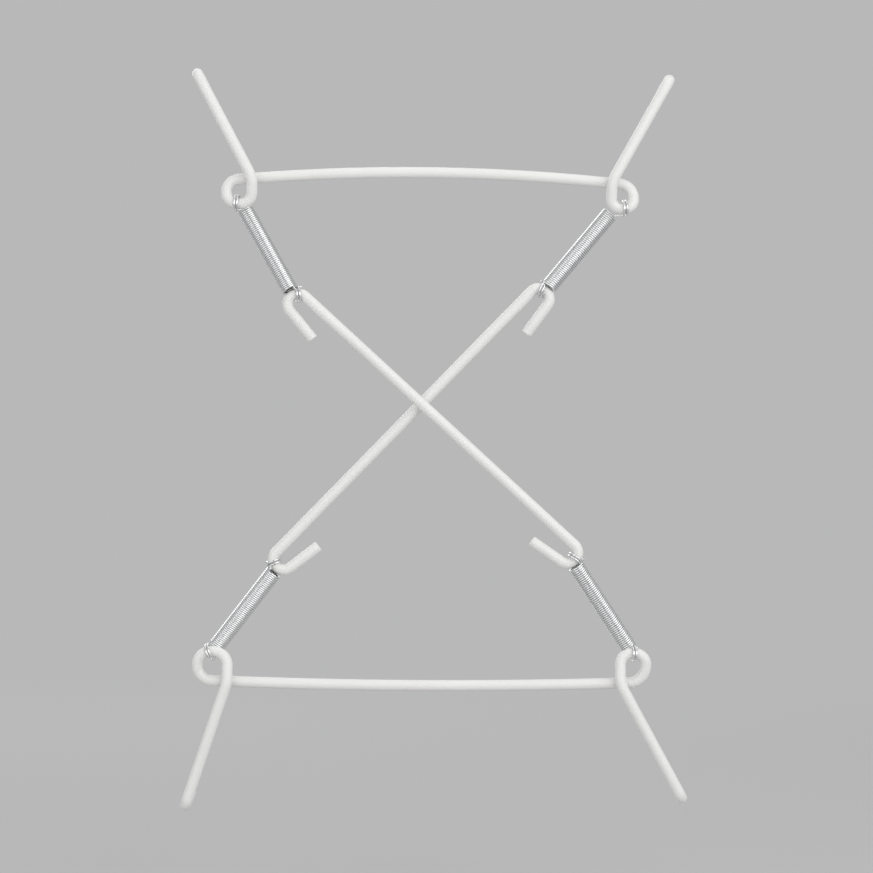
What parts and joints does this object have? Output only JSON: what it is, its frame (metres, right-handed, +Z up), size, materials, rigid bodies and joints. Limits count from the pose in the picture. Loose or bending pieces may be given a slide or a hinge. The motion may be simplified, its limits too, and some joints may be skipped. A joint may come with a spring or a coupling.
{
  "type": "plate hanger",
  "caption": "Wire plate hanger: bent white wire yokes with hooked claws, tied by crossed wires and close-wound extension springs that pull the claws onto a plate's rim.",
  "frame": {"origin": "under the middle of the upper yoke's bar, where the nail bears", "axes": "+Z up as it hangs, +Y towards the plate (claw side), -Y towards the wall"},
  "size_m": [0.1905, 0.021, 0.2787],
  "materials": {
    "coated_wire": "satin",
    "spring_steel": "bright"
  },
  "bodies": {
    "top_yoke": {"top_yoke": "coated_wire"},
    "top_springs": {"spring_top_left": "spring_steel", "spring_top_right": "spring_steel"},
    "cross_wires": {"cross_wire_front": "coated_wire", "cross_wire_back": "coated_wire"},
    "bottom_springs": {"spring_bottom_left": "spring_steel", "spring_bottom_right": "spring_steel"},
    "bottom_yoke": {"bottom_yoke": "coated_wire"}
  },
  "joints": [
    {"name": "swing_top", "type": "hinge", "parent": "top_yoke", "child": "top_springs", "pos_m": [-0.00047, -0.0023, -0.0107], "axis": [0.9999, 0, -0.0133], "range_deg": [-40, 40]},
    {"name": "stretch_top", "type": "slide", "parent": "top_springs", "child": "cross_wires", "axis": [0, 0, -1], "range_m": [0, 0.0455], "stiffness_N_per_m": 505, "springref_m": -0.006, "deforming": ["spring_top_left", "spring_top_right"]},
    {"name": "stretch_bottom", "type": "slide", "parent": "cross_wires", "child": "bottom_springs", "axis": [0, 0, -1], "range_m": [0, 0.0455], "stiffness_N_per_m": 500, "springref_m": -0.006, "deforming": ["spring_bottom_left", "spring_bottom_right"]},
    {"name": "swing_bottom", "type": "hinge", "parent": "bottom_springs", "child": "bottom_yoke", "pos_m": [-0.00347, -0.0023, -0.17761], "axis": [1, 0, -0.0047], "range_deg": [-40, 40]}
  ]
}
